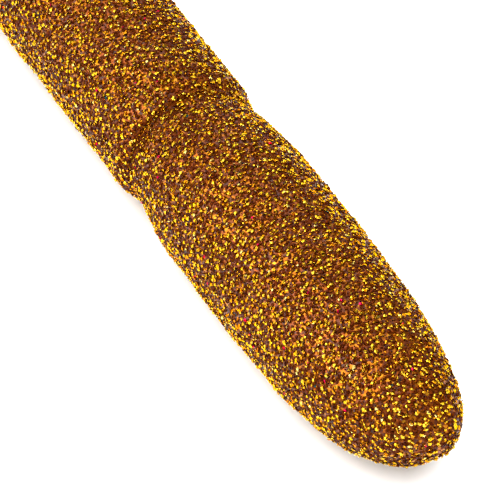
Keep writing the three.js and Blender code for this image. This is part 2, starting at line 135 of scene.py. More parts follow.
RING_AT, SWIVEL_AT, HOOK_AT = (joint(name)[0] for name in ("ring_swing", "swivel_swing", "hook_swing"))
LEVER_AT, LEVER_AXIS = joint("lever_open")
RING = Place(RING_AT, SWIVEL_AT - RING_AT)
SWIVEL = Place(SWIVEL_AT, HOOK_AT - SWIVEL_AT)
HOOK = Place(HOOK_AT, (-LEVER_AXIS[2], 0, LEVER_AXIS[0]))


def on_stick(node, end):
    """How far along the stick a node starts (end 0) or ends (end 1)."""
    return (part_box(node)[end][0] - STICK.origin[0]) / STICK_WAY[0]


# ---- What a user can change ----


def srgb(hex_code):
    """An sRGB hex colour as linear red, green, blue and alpha."""
    channels = np.array([int(hex_code[i : i + 2], 16) / 255 for i in (0, 2, 4)])
    linear = np.where(channels <= 0.04045, channels / 12.92, ((channels + 0.055) / 1.055) ** 2.4)
    return (*linear.tolist(), 1.0)


def number(description, default, **more):
    """A plain number."""
    return bpy.props.FloatProperty(description=description, default=default, **more)


def size(description, length):
    """A length, given here in millimetres."""
    return number(description, length * MM, min=0.0, subtype="DISTANCE")


def angle(description, degrees):
    """An angle, given here in degrees."""
    return number(description, math.radians(degrees), subtype="ANGLE")


def colour(description, code):
    """A colour, given here as an sRGB hex code."""
    return bpy.props.FloatVectorProperty(
        description=description, default=srgb(code), size=4, min=0.0, max=1.0, subtype="COLOR"
    )


class HandleSizes(bpy.types.PropertyGroup):
    knob_radius: size("Widest ring of the end knob, under the flakes", 4.84)
    neck_radius: size("Bottom of the groove", 3.98)
    nose_fullness: number("First power of the nose's outline", 3.9)
    nose_bluntness: number("Second power of the nose's outline", 2.2)
    neck_power: number("How late the outline drops to the neck", 2.2)
    inset: size("Room for the flakes at the very end", 0.07)
    lean: size("Of the very end, off the axis", 0.8)
    lean_length: size("The part of the nose that leans", 10)
    sleeve_radius: size("The grip sleeve, under the flakes", 4.585)
    edge_length: size("Length of the sleeve's rounded rear edge", 1.3)
    front_radius: size("The sleeve's thin front end", 4.0)
    taper: size("Length over which the sleeve thins", 13)
    front: size("Length of the thin front end", 5)
    socket_radius: size("The knob's bore for the rod", 2.8)
    socket_depth: size("From the knob's end to the socket", 8.7)
    sleeve_bore: size("The sleeve's bore for the rod", 3.6)
    unevenness: size("How far the lacquer swells and dips", 0.035)


class RodSizes(bpy.types.PropertyGroup):
    spigot_radius: size("The rod's thin end, inside the knob", 2.5)
    grip_radius: size("The rod inside the sleeve", 3.5)
    tip_radius: size("The rod at the ferrule", 2.6)
    spigot_start: size("From the knob's end to the rod", 9)
    tape: size("Thickness of the band's film", 0.09)
    tape_pitch: size("How far the tape moves on each turn", 1.8)


class FittingSizes(bpy.types.PropertyGroup):
    ferrule_radius: size("Outside of the metal tip", 3.4)
    ferrule_bore: size("Inside of the metal tip", 2.64)
    bead: size("Height of the rolled rear lip", 0.27)
    bead_length: size("Length of the rolled lip", 1.6)
    end_wall: size("Thickness of the tip's front wall", 1.5)
    nose_rounding: size("Rounding of the tip's front edge", 0.9)
    pin_radius: size("The rivet across the tip", 0.6)
    pin_head: size("Radius of the rivet's set heads", 0.95)
    eye_wire: size("Radius of the tip eye's wire", 0.7)
    eye_loop: size("Radius of the tip eye, to the wire's middle", 2.2)
    eye_bend: size("Radius of the bend from shank to loop", 1.0)
    ring_wire: size("Radius of the split ring's wire", 0.35)
    ring_pitch: size("From one turn of the ring to the next", 0.95)
    ring_step: angle("Half the angle over which a turn steps up", 16)
    ring_ends: angle("From the middle of the step to each end", 26)
    link_wire: size("Radius of the swivel eyes' wire", 0.45)
    link_loop: size("Radius of a swivel eye, to the wire's middle", 1.75)
    barrel_radius: size("Outside of the swivel's barrel", 2.0)
    barrel_mouth: size("Radius of the barrel's spun-in ends", 1.45)
    barrel_wall: size("Thickness of the barrel", 0.45)
    barrel_end_wall: size("Thickness at the barrel's ends", 0.9)
    head: size("Thickness of a swivel eye's head", 0.7)
    gap: size("Running clearance in the swivel", 0.3)


class HookSizes(bpy.types.PropertyGroup):
    body_rounding: size("Rounding of the cast body's edges", 0.2)
    lever_rounding: size("Rounding of the lever's edges", 0.1)
    spring_rounding: size("Rounding of the leaf spring's edges", 0.03)
    rivet_head: size("Radius of the lever rivet's heads", 0.8)
    rivet_dome: size("Height of the rivet's heads", 0.22)


class GlitterLook(bpy.types.PropertyGroup):
    flake_width: size("Across the flats of a flake of fine glitter", 0.2)
    flake_spacing: size("Between flakes deep in the lacquer", 0.2)
    top_spacing: size("Between the bright flakes on top", 0.32)
    rod_spacing: size("Between the flakes on the rod", 0.66)
    top_height: size("How much higher the bright flakes lie", 0.06)
    keel: size("Depth of a flake's underside", 0.045)
    lean: angle("Typical lean of a flake off the surface", 18)
    standing: number("Share of the flakes that stand on edge", 0.008)
    seed: bpy.props.IntProperty(description="Start of the random numbers", default=7, min=0)
    # pale is a painted glint: a whitish gold that stands in for flakes flashing in the light.
    pale: colour("Foil that flashes almost white", "FFE884")
    bright: colour("The brightest foil", "FFCF38")
    gold: colour("Foil in the open", "F2A622")
    # amber, copper and umber are painted shade: the gold foil darkened as on flakes turned from the light,
    # rather than by the lacquer over them.
    amber: colour("Foil under thicker lacquer", "784008")
    copper: colour("Foil deep in the lacquer", "5C2404")
    umber: colour("Foil at the bottom of the lacquer", "481804")
    # This near-black foil is painted shade: dark flakes put where the gaps between flakes lie in shadow.
    soot: colour("Foil that shows its dark side", "120A04")
    # mauve is a painted reflection: a greyish pink standing in for the pale surroundings mirrored in the
    # glitter, not milky lacquer.
    mauve: colour("Foil under milky lacquer", "745650")
    ruby: colour("A stray red flake", "F0245A")
    teal: colour("A stray blue-green flake", "2A7F84")


class MetalLook(bpy.types.PropertyGroup):
    nickel: colour("Bright nickel plating", "CFC9BE")
    nickel_worn: colour("Nickel dulled by handling", "A8A196")
    wire: colour("Nickel-plated steel wire", "C6C2BA")
    wire_worn: colour("Wire where the turns rub", "8E8A84")
    brass: colour("Turned brass", "C79A4B")
    brass_worn: colour("Brass gone brown", "8A6126")
    spring: colour("Rolled strip", "A9A9AC")
    spring_worn: colour("Strip with a straw tint", "8C8373")
    film: colour("Metallised gold tape", "D9A23A")
    film_worn: colour("Tape rubbed by the hand", "A9741F")


class StageLook(bpy.types.PropertyGroup):
    view_turn: angle("From the way the knob points round to the camera", 27.3)
    view_rise: angle("Height of the camera above the floor", 41.3)
    view_distance: size("From the camera to the handle", 350)
    view_width: size("What the picture spans at the handle", 29.46)
    look_at: size("The middle of the picture, from the knob's end", 20.1)
    look_left: size("From the axis left to that middle", 0.86)
    look_down: size("From the axis down to it", 0.50)
    floor: colour("Matt white card", "F7F7F7")


# ---- Surfaces ----


def new_piece(name, points, faces, maps=None):
    """A mesh object at the origin, from points and arrays of faces, each with its own number of corners."""
    mesh = bpy.data.meshes.new(name)
    sizes = np.concatenate([np.full(len(f), f.shape[1]) for f in faces])
    loops = np.concatenate([f.ravel() for f in faces]).astype(np.int32)
    mesh.vertices.add(len(points))
    mesh.vertices.foreach_set("co", np.asarray(points, np.float32).ravel())
    mesh.loops.add(len(loops))
    mesh.loops.foreach_set("vertex_index", loops)
    mesh.polygons.add(len(sizes))
    mesh.polygons.foreach_set("loop_start", (np.cumsum(sizes) - sizes).astype(np.int32))
    mesh.update(calc_edges=True)
    if maps is not None:
        mesh.uv_layers.new(name="OFBake").data.foreach_set("uv", np.asarray(maps, np.float32).ravel())
    mesh.validate()
    piece = bpy.data.objects.new(name, mesh)
    bpy.context.collection.objects.link(piece)
    return piece


def smooth(piece, sharp_from=35):
    """Smooth shading, with a sharp edge where two faces meet at more than that many degrees."""
    piece.data.polygons.foreach_set("use_smooth", np.ones(len(piece.data.polygons), bool))
    piece.data.set_sharp_from_angle(angle=math.radians(sharp_from))


def grid_piece(name, rings, closed):
    """Skins a grid of rings x sides points that wraps round, and at its ends closes a ring of no size.

    The map for baking lays the skin out in as many upright strips, side by side, as make it about square.
    """
    count, sides = rings.shape[:2]
    ring = np.arange(count if closed else count - 1)[:, None]
    side = np.arange(sides)[None, :]
    after, beside = (ring + 1) % count, (side + 1) % sides
    cell = [ring * sides + side, ring * sides + beside, after * sides + beside, after * sides + side]
    faces = np.stack([np.broadcast_to(c, (ring.size, sides)) for c in cell], -1).reshape(-1, 4)

    steps = np.linalg.norm(np.diff(rings[:, 0], axis=0, append=rings[:1, 0]), axis=1)[: ring.size]
    run = np.concatenate([[0], np.cumsum(steps)])
    girth = np.linalg.norm(np.roll(rings, -1, 1) - rings, axis=2).sum(1).max()
    strips = max(1, round(math.sqrt(run[-1] / girth)))
    strip = np.minimum((run[:-1] + run[1:]) / 2 / run[-1] * strips, strips - 1).astype(int)[:, None]
    low, high = (run[:-1, None] * strips / run[-1] - strip), (run[1:, None] * strips / run[-1] - strip)
    left, right = (strip + side / sides) / strips, (strip + (side + 1) / sides) / strips
    corner = [(left, low), (right, low), (right, high), (left, high)]
    maps = np.stack(
        [np.stack([u, np.broadcast_to(v, u.shape)], -1) for u, v in corner], 2
    ).reshape(-1, 2)

    piece = new_piece(name, rings.reshape(-1, 3), [faces], np.clip(maps, MAP_EDGE, 1 - MAP_EDGE))
    work = bmesh.new()
    work.from_mesh(piece.data)
    bmesh.ops.remove_doubles(work, verts=work.verts, dist=SAME_POINT)
    bmesh.ops.dissolve_degenerate(work, edges=work.edges, dist=NO_LENGTH)
    bmesh.ops.recalc_face_normals(work, faces=work.faces)
    work.to_mesh(piece.data)
    work.free()
    smooth(piece)
    return piece


def revolve(name, place, outline, sides=64, closed=False, swell=None, shift=None, keep_above=None):
    """Turns an outline of (distance, radius) rows about a place's axis.

    A point is the axis point at that distance plus radius x (cos a, sin a) across it, with the angle a once
    round. swell adds a height to the radius, and shift moves a whole ring sideways.
    """
    outline = np.asarray(outline, float)
    turn = np.arange(sides) / sides * TAU
    t, a = np.meshgrid(outline[:, 0], turn, indexing="ij")
    r = np.broadcast_to(outline[:, 1:], t.shape)
    if swell is not None:
        r = r + swell(t, a) * (r > SAME_POINT)
    local = np.stack([t, r * np.cos(a), r * np.sin(a)], -1)
    if shift is not None:
        local[..., 1] += shift(t)
    points = place.world(local)
    if keep_above is not None:
        points[..., 2] = np.maximum(points[..., 2], keep_above)
    return grid_piece(name, points, closed)


DOME_STEPS = 6  # rings in the half ball at a wire's end


def sweep(name, place, path, radius, flat, sides=20, domed=True):
    """Carries a circle along a path. flat is a direction that the path never runs along.

    At each point the circle lies across the path's direction, and its radius shrinks to nothing over a half
    ball at both ends, or the path closes on itself.
    """
    path = np.asarray(path, float)
    thick = np.full(len(path), radius)
    way = unit(np.gradient(path, axis=0) if domed else np.roll(path, -1, 0) - np.roll(path, 1, 0))
    if domed:
        rest = np.linspace(0, math.pi / 2, DOME_STEPS + 1)
        back, fore = np.cos(rest)[:-1, None] * radius, np.sin(rest)[1:, None] * radius
        path = np.vstack([path[0] - way[0] * back, path, path[-1] + way[-1] * fore])
        way = np.vstack([np.repeat(way[:1], DOME_STEPS, 0), way, np.repeat(way[-1:], DOME_STEPS, 0)])
        thick = np.concatenate([np.sin(rest)[:-1] * radius, thick, np.cos(rest)[1:] * radius])
    side = unit(np.cross(np.broadcast_to(flat, way.shape), way))
    other = np.cross(way, side)
    turn = (np.arange(sides) / sides * TAU)[:, None]
    across = np.cos(turn) * side[:, None] + np.sin(turn) * other[:, None]
    return grid_piece(name, place.world(path[:, None] + thick[:, None, None] * across), not domed)


def bend(t, r, long, high, start, end, steps=8):
    """Rows of (distance, radius) on a stretch of an ellipse round (t, r), between two angles in degrees."""
    a = np.radians(np.linspace(start, end, steps + 1))
    return np.stack([t + long * np.cos(a), r + high * np.sin(a)], 1)


def straight(start, end, steps):
    """Rows of (distance, radius) at even steps from one row to another, both left out."""
    share = np.linspace(0, 1, steps + 2)[1:-1, None]
    return np.array([start]) * (1 - share) + np.array([end]) * share


def copy_of(node, name, rounding, segments=3):
    """A merged copy of a CAD node with its edges rounded."""
    piece = bpy.data.objects.new(name, frame["nodes"][node].data.copy())
    piece.data.materials.clear()
    bpy.context.collection.objects.link(piece)
    work = bmesh.new()
    work.from_mesh(piece.data)
    bmesh.ops.remove_doubles(work, verts=work.verts, dist=MERGE_CAD)
    bmesh.ops.dissolve_limit(
        work, angle_limit=math.radians(FLAT_WITHIN), verts=work.verts, edges=work.edges
    )
    work.to_mesh(piece.data)
    work.free()
    smooth(piece, SHARP_FROM)
    rounded = piece.modifiers.new("rounding", "BEVEL")
    rounded.width = rounding
    rounded.segments = segments
    rounded.limit_method = "ANGLE"
    rounded.angle_limit = math.radians(SHARP_FROM)
    rounded.harden_normals = True
    rounded.use_clamp_overlap = False
    return piece


# ---- Finishes ----


def add(tree, kind, inputs=None, **settings):
    """Adds a node, makes its settings, and gives each named input a value or a link from a socket."""
    node = tree.nodes.new(kind)
    for key, value in settings.items():
        setattr(node, key, value)
    for key, value in (inputs or {}).items():
        if isinstance(value, bpy.types.NodeSocket):
            tree.links.new(value, node.inputs[key])
        else:
            node.inputs[key].default_value = value
    return node


def finish(name, **constants):
    """A new material with one surface shader that has these constant values."""
    material = bpy.data.materials.new(name)
    material.use_nodes = True
    tree = material.node_tree
    tree.nodes.clear()
    inputs = {key.replace("_", " "): value for key, value in constants.items()}
    shader = add(tree, "ShaderNodeBsdfPrincipled", inputs)
    add(tree, "ShaderNodeOutputMaterial", {"Surface": shader.outputs["BSDF"]})
    where = add(tree, "ShaderNodeTexCoord").outputs["Object"]
    return material, tree, shader, where


def between(tree, value, low, high):
    """Maps a pattern's usual span, 0.3 to 0.7, to two other values."""
    ends = {"Value": value, "From Min": 0.3, "From Max": 0.7, "To Min": low, "To Max": high}
    spread = add(tree, "ShaderNodeMapRange", ends)
    return spread.outputs["Result"]


def noise(tree, where, width, detail=2.0):
    """A soft noise whose lumps are about that wide."""
    inputs = {"Vector": where, "Scale": 1 / width, "Detail": detail}
    return add(tree, "ShaderNodeTexNoise", inputs).outputs["Fac"]


def relieved(tree, shader, height, strength, depth):
    """Lets a pattern tip the surface."""
    inputs = {"Height": height, "Strength": strength, "Distance": depth}
    tree.links.new(add(tree, "ShaderNodeBump", inputs).outputs["Normal"], shader.inputs["Normal"])


def mixed(tree, pattern, first, second):
    """Two colours, mixed by a pattern."""
    share = between(tree, pattern, 0.0, 1.0)
    return add(
        tree, "ShaderNodeMix", {"Factor": share, "A": first, "B": second}, data_type="RGBA"
    ).outputs["Result"]


def foil(name, base, roughness, metallic=1.0):
    """Metallised polyester film, dyed and die-cut.

    A mirror in its given colour, or part matt where thick lacquer over it scatters the light. For most
    foils that colour is the film's own; it is a painted glint on the pale foil, painted shade on the darker
    ones and a painted reflection on the mauve one. The film's slight crinkle gives each flake a sheen of
    its own, so a noise about one flake wide moves the roughness and tips the surface.
    """
    made = bpy.data.materials.get(name)
    if made:
        return made
    foil_colour = tuple(base)
    material, tree, shader, where = finish(name, Base_Color=foil_colour, Specular_Tint=foil_colour, Metallic=metallic)
    crinkle = noise(tree, where, 0.35 * MM)
    tree.links.new(between(tree, crinkle, roughness * 0.6, roughness * 1.6), shader.inputs["Roughness"])
    relieved(tree, shader, crinkle, 0.08, 0.05 * MM)
    return material


# Shades of the foil inside a lacquer, by how often they come up. The darker stops are partly the dark
# primer and partly painted shade, on flakes turned from the light and in the gaps between them.
DARK_STOPS = [(0.0, "1A0C06"), (0.35, "4A1E06"), (0.62, "7A3A0A"), (0.85, "A8660F"), (1.0, "D9A02A")]
GOLD_STOPS = [(0.0, "2A1404"), (0.3, "7C480C"), (0.55, "AA7014"), (0.8, "D69E26"), (1.0, "FFD25C")]


def glitter_lacquer(name, stops):
    """Brushed clear lacquer loaded with foil, on a dark primer.

    What shows between the flakes on top is deeper foil: cells one flake wide, in the colours of the stops,
    whose darker end is partly painted shade.
    """
    material, tree, shader, where = finish(name, Roughness=0.35, Specular_IOR_Level=0.2)
    cells = add(tree, "ShaderNodeTexVoronoi", {"Vector": where, "Scale": 1 / (0.2 * MM)})
    shade = add(tree, "ShaderNodeValToRGB", {"Fac": cells.outputs["Color"]})
    shade.color_ramp.elements.remove(shade.color_ramp.elements[1])
    shade.color_ramp.elements[0].color = srgb(stops[0][1])
    for place, code in stops[1:]:
        shade.color_ramp.elements.new(place).color = srgb(code)
    tree.links.new(shade.outputs["Color"], shader.inputs["Base Color"])
    tree.links.new(between(tree, cells.outputs["Color"], 0.2, 0.8), shader.inputs["Metallic"])
    relieved(tree, shader, cells.outputs["Distance"], 0.6, 0.04 * MM)
    return material


# Each metal's fresh and worn colours, the width of its grain, its roughness and the depth of its relief.
METALS = {
    # Nickel plated over polished brass: a clear mirror with faint clouding from handling.
    "bright_nickel_plate": ("nickel", "nickel_worn", 0.25 * MM, 0.16, 0.004 * MM),
    # Drawn steel wire, nickel plated in a drum: bright, with a soft grain from the tumbling.
    "plated_steel_wire": ("wire", "wire_worn", 0.12 * MM, 0.2, 0.006 * MM),
    # Brass turned on a lathe and left bare: warm and satin, with brown tarnish in patches.
    "turned_brass": ("brass", "brass_worn", 0.1 * MM, 0.26, 0.006 * MM),
    # Cold-rolled strip, tempered: grey with a straw tint.
    "rolled_spring_steel": ("spring", "spring_worn", 0.08 * MM, 0.3, 0.004 * MM),
    # Polyester tape under a film of metal: golden, and rubbed duller in patches.
    "metallised_film_tape": ("film", "film_worn", 0.3 * MM, 0.22, 0.01 * MM),
}


def metal(name, look):
    """A metal: two tones in soft patches, and a fine grain that moves its roughness and relief."""
    made = bpy.data.materials.get(name)
    if made:
        return made
    fresh, worn, grain, roughness, depth = METALS[name]
    material, tree, shader, where = finish(name, Metallic=1.0)
    patches = noise(tree, where, 2.5 * MM, 3.0)
    tones = tuple(getattr(look, fresh)), tuple(getattr(look, worn))
    tree.links.new(mixed(tree, patches, *tones), shader.inputs["Base Color"])
    fine = noise(tree, where, grain)
    tree.links.new(between(tree, fine, roughness * 0.7, roughness * 1.4), shader.inputs["Roughness"])
    relieved(tree, shader, fine, 0.3, depth)
    return material


def put(piece, material, body, slot, *nodes):
    """Gives a piece its finish and its body, and hides the CAD nodes that it stands for."""
    piece.data.materials.append(material)
    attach(piece, body)
    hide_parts(*nodes)


# ---- The glitter ----


def deep_foils(look):
    """The foils down in the lacquer, with each one's share of the flakes and how large they look."""
    return [
        (foil("foil_gold", look.gold, 0.2), 7, 0.9),
        # Amber, copper and umber are painted shade: the gold foil darkened as on flakes turned from the
        # light.
        (foil("foil_amber_shade", look.amber, 0.35, 0.7), 18, 1.0),
        (foil("foil_copper_shade", look.copper, 0.45, 0.35), 46, 1.15),
        (foil("foil_umber_shade", look.umber, 0.45, 0.35), 12, 1.1),
        # The near-black foil is painted shade in the gaps between flakes.
        (foil("foil_painted_gap_shade", look.soot, 0.4), 15, 0.5),
        # Mauve flakes are a painted reflection of the pale surroundings.
        (foil("foil_painted_reflection", look.mauve, 0.45), 2, 0.6),
    ]


def top_foils(look):
    """The foils that lie on top of the lacquer, in the same way."""
    return [
        # The pale gold flakes are a painted glint, whitish as if flashing in the light.
        (foil("foil_painted_glint", look.pale, 0.15), 7, 0.95),
        (foil("foil_bright_gold", look.bright, 0.18), 64, 1.08),
        (foil("foil_gold", look.gold, 0.2), 30, 0.95),
        # Mauve flakes are a painted reflection of the pale surroundings.
        (foil("foil_painted_reflection", look.mauve, 0.45), 2.5, 0.65),
        (foil("foil_ruby", look.ruby, 0.25), 0.8, 1.0),
        (foil("foil_teal", look.teal, 0.25), 0.1, 1.0),
    ]


WAVES = 9


def swell_of(sizes, seed):
    """Slow waves in the lacquer: a sum of sines, each with its own pace round and along the handle."""
    rng = np.random.default_rng(seed)
    rounds, paces = rng.integers(1, 7, WAVES), rng.uniform(0.4, 2.2, WAVES) / MM
    starts, heights = rng.uniform(0, TAU, WAVES), rng.uniform(0.3, 1.0, WAVES)

    def height(t, turn):
        waves = rounds * np.asarray(turn)[..., None] + paces * np.asarray(t)[..., None] + starts
        return sizes.unevenness * (heights * np.sin(waves)).sum(-1) / 2

    return height


OUTLINE_STEPS = 4000  # how finely an outline's length is measured


def scatter(outline, start, end, spacing, loose, rng):
    """Distances and angles of flakes over a turned surface.

    Rows lie at even steps along the outline and hold as many flakes as fit round it, every other row moved
    on by half a step. Each flake is then moved at random by up to some share of a step both ways.
    """
    t = np.linspace(start, end, OUTLINE_STEPS)
    run = np.concatenate([[0], np.cumsum(np.hypot(np.diff(t), np.diff(outline(t))))])
    rows = np.arange(spacing / 2, run[-1], spacing)
    girths = TAU * np.interp(rows, run, outline(t))
    counts = np.maximum(1, np.round(girths / spacing)).astype(int)
    row = np.repeat(np.arange(len(rows)), counts)
    number_in_row = np.arange(counts.sum()) - np.repeat(np.cumsum(counts) - counts, counts)
    turn = (number_in_row + 0.5 * (row % 2)) / counts[row] * TAU
    shift = rng.uniform(-loose, loose, (len(row), 2)) * spacing
    at = np.clip(rows[row] + shift[:, 0], 0, run[-1])
    turn = turn + TAU * shift[:, 1] / np.maximum(girths[row], spacing)
    return np.interp(at, run, t), turn


SLOPE_STEP = 0.02 * MM  # each way, to take the outline's slope
CORNERS = 6
DEPTHS = 0.04 * MM  # over which neighbouring flakes differ in height
ON_EDGE = (1.0, 1.4)  # how far a standing flake leans, in radians
SPREAD = (0.65, 1.12)  # the smallest and the largest flake, against the usual width
RAISED = 0.4  # lift of a leaning flake, against how deep its low side goes
DEEP_LOOSE, TOP_LOOSE = 0.45, 0.9  # how far flakes are moved at random, in steps


def flakes(
    name, slot, look, kinds, outline, start, end, spacing, seed,
    height=0.0, loose=DEEP_LOOSE, swell=None, shift=None,
):
    """Loose flakes of foil over a turned surface, at some height above it, as one piece.

    A flake is a regular hexagon in a plane that leans off the surface by a Rayleigh-distributed angle about
    a random line in it. Below, six sides close it in a shallow point.
    """
    rng = np.random.default_rng(seed)
    t, turn = scatter(outline, start, end, spacing, loose, rng)
    total = len(t)
    r = outline(t)
    before, behind = np.maximum(t - SLOPE_STEP, start), t + SLOPE_STEP
    slope = (outline(behind) - outline(before)) / (behind - before)
    cos, sin, flat = np.cos(turn), np.sin(turn), np.zeros(total)
    out = unit(np.stack([-slope, cos, sin], 1))
    across = np.stack([flat, -sin, cos], 1)
    ahead = np.cross(across, out)

    lean = look.lean * np.sqrt(-2 * np.log(rng.uniform(1e-3, 1, total)))
    lean = np.where(rng.uniform(size=total) < look.standing, rng.uniform(*ON_EDGE, total), lean)
    heading = rng.uniform(0, TAU, total)[:, None]
    aside = ahead * np.cos(heading) + across * np.sin(heading)
    facing = out * np.cos(lean)[:, None] + aside * np.sin(lean)[:, None]
    first = unit(np.cross(facing, ahead * np.sin(heading) - across * np.cos(heading) + 0.3 * out))
    second = np.cross(facing, first)

    shares = np.array([share for _, share, _ in kinds])
    pick = rng.choice(len(kinds), total, p=shares / shares.sum())
    looks = np.array([factor for _, _, factor in kinds])[pick]
    half = look.flake_width / math.sqrt(3) * rng.uniform(*SPREAD, total) * looks
    lift = height + rng.uniform(0, 1, total) * DEPTHS + RAISED * half * np.sin(lean)
    if swell is not None:
        lift = lift + swell(t, turn)
    middle_of = np.stack([t, r * cos, r * sin], 1) + out * lift[:, None]
    if shift is not None:
        middle_of[:, 1] += shift(t)
    spin = np.arange(CORNERS) / CORNERS * TAU + rng.uniform(0, TAU, total)[:, None]
    rim = np.cos(spin)[..., None] * first[:, None] + np.sin(spin)[..., None] * second[:, None]
    rim = middle_of[:, None] + half[:, None, None] * rim
    keel = middle_of - facing * look.keel
    points = STICK.world(np.concatenate([rim, keel[:, None]], 1))
    low, high = np.array(CAD_BOX[0]) + CLEAR / 4, np.array(CAD_BOX[1]) - CLEAR / 4
    points += (np.maximum(low - points.min(1), 0) - np.maximum(points.max(1) - high, 0))[:, None]

    first_point, rim_point = np.arange(total)[:, None] * (CORNERS + 1), np.arange(CORNERS)
    tops = first_point + rim_point
    base = np.broadcast_to(first_point + CORNERS, tops.shape)
    sides = np.stack([first_point + (rim_point + 1) % CORNERS, tops, base], -1).reshape(-1, 3)
    piece = new_piece(name, points.reshape(-1, 3), [tops, sides])
    for material, _, _ in kinds:
        piece.data.materials.append(material)
    faces_of = np.concatenate([pick, np.repeat(pick, CORNERS)]).astype(np.int32)
    piece.data.polygons.foreach_set("material_index", faces_of)
    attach(piece, "stick")


# ---- The handle ----


def knob_radius(sizes, t):
    """The knob's radius at a distance from its end.

    Up to the widest ring it is R (1 - u^fullness)^(1/bluntness), where u falls from 1 to 0. Behind it, it
    drops to the neck's radius with a power of the distance gone.
    """
    length = on_stick("end_knob", 1)
    u = np.clip(1 - (t - sizes.inset) / (KNOB_NOSE - sizes.inset), 0, 1)
    v = np.clip((t - KNOB_NOSE) / (length - KNOB_NOSE), 0, 1)
    nose = sizes.knob_radius * (1 - u**sizes.nose_fullness) ** (1 / sizes.nose_bluntness)
    neck = sizes.neck_radius + (sizes.knob_radius - sizes.neck_radius) * (1 - v**sizes.neck_power)
    return np.where(t < KNOB_NOSE, nose, neck)


def knob_shift(sizes, t):
    """How far a section of the knob stands off the axis: -lean (1 - t / lean length)^3."""
    return -sizes.lean * np.clip(1 - t / sizes.lean_length, 0, 1) ** 3


def groove_at():
    """The bottom of the groove, halfway between the knob's end and the sleeve's start."""
    return (on_stick("end_knob", 1) + on_stick("grip_sleeve", 0)) / 2


def sleeve_radius(sizes, t):
    """The sleeve's radius: a quarter ellipse up from the groove, straight, then an even taper."""
    start, end = groove_at(), on_stick("grip_sleeve", 1)
    into = np.clip((t - start) / sizes.edge_length, 0, 1)
    rear = sizes.neck_radius + (sizes.sleeve_radius - sizes.neck_radius) * np.sqrt(1 - (1 - into) ** 2)
    thinned = np.clip((t - end + sizes.front + sizes.taper) / sizes.taper, 0, 1)
    return rear + (sizes.front_radius - sizes.sleeve_radius) * thinned


HANDLE_SIDES = 128
KNOB_CUT = 14 * MM  # where the knob's deep flakes are split in two pieces


class RIBBON_OT_handle(bpy.types.Operator):
    """Builds the end knob and the grip sleeve, with their flakes of glitter"""

    bl_idname = "ribbon_stick.handle"
    bl_label = "Glitter Handle"

    def execute(self, context):
        sizes, look = context.scene.handle_sizes, context.scene.glitter_look
        lacquer = glitter_lacquer("dark_glitter_lacquer", DARK_STOPS)
        swell = swell_of(sizes, look.seed)
        floor = CAD_BOX[0][2] + CLEAR
        groove = groove_at()
        end = on_stick("grip_sleeve", 1)

        def leaning(t):
            return knob_shift(sizes, t)

        rounded = KNOB_NOSE - (KNOB_NOSE - sizes.inset) * np.cos(np.linspace(0, math.pi / 2, 90))
        t = np.concatenate([rounded, np.linspace(KNOB_NOSE, groove, 40)[1:]])
        outer = np.stack([t, knob_radius(sizes, t)], 1)
        bottom, bore = sizes.socket_depth, sizes.socket_radius
        socket = [(groove, bore), (bottom, bore), (bottom, 0)]
        knob = revolve(
            "end_knob_coat", STICK, np.vstack([outer, socket]), HANDLE_SIDES,
            swell=lambda t, a: swell(t, a) * (t < groove), shift=leaning, keep_above=floor,
        )
        put(knob, lacquer, "stick", "knob_coat", "end_knob")

        edge = sizes.edge_length * (1 - np.cos(np.linspace(0, math.pi / 2, 16)))
        t = groove + np.concatenate([edge, np.linspace(edge[-1], end - groove, 180)[1:]])
        outer = np.stack([t, sleeve_radius(sizes, t)], 1)
        wall = [(end, sizes.sleeve_bore), (groove, sizes.sleeve_bore)]
        outline = np.vstack([outer, wall])
        skin = (np.arange(len(outline)) < len(outer))[:, None]
        sleeve = revolve(
            "grip_sleeve_coat", STICK, outline, HANDLE_SIDES, closed=True,
            swell=lambda t, a: swell(t, a) * skin, keep_above=floor,
        )
        put(sleeve, lacquer, "stick", "sleeve_coat", "grip_sleeve")

        deep, top = deep_foils(look), top_foils(look)

        def covered(name, slot, outline, cuts, seed, **shape):
            """A dense layer of deep flakes, a piece from each cut to the next, and a sparse top layer."""
            for i in range(len(cuts)):
                if i + 1 < len(cuts):
                    layer, kinds, span = f"{name}_{i + 1}", deep, cuts[i : i + 2]
                    spacing, height, loose = look.flake_spacing, 0.0, DEEP_LOOSE
                else:
                    layer, kinds, span = f"{name}_top", top, (cuts[0], cuts[-1])
                    spacing, height, loose = look.top_spacing, look.top_height, TOP_LOOSE
                layout = (outline, *span, spacing, seed + i, height, loose, swell)
                flakes(layer, slot, look, kinds, *layout, **shape)

        covered(
            "knob_glitter", "knob_coat", lambda t: knob_radius(sizes, t), (sizes.inset, KNOB_CUT, groove),
            look.seed + 10, shift=leaning,
        )
        covered(
            "sleeve_glitter", "sleeve_coat", lambda t: sleeve_radius(sizes, t), np.linspace(groove, end, 5),
            look.seed + 20,
        )
        return {"FINISHED"}


# ---- The rod and its band ----


def rod_radius(sizes, t):
    """The rod's radius in front of the band: an even taper to the ferrule."""
    start, end = on_stick("grip_band", 1), on_stick("tip_ferrule", 0)
    gone = np.clip((t - start) / (end - start), 0, 1)
    return sizes.grip_radius + (sizes.tip_radius - sizes.grip_radius) * gone


SHOULDER_INSIDE = 0.3 * MM  # from the sleeve's rear end to the rod's step
BAND_FALL = 1.6 * MM  # over which the band comes down from sleeve to rod
BAND_OVER = 0.12 * MM  # from what it lies on to the tape's outside
BAND_DEPTH = 0.1 * MM


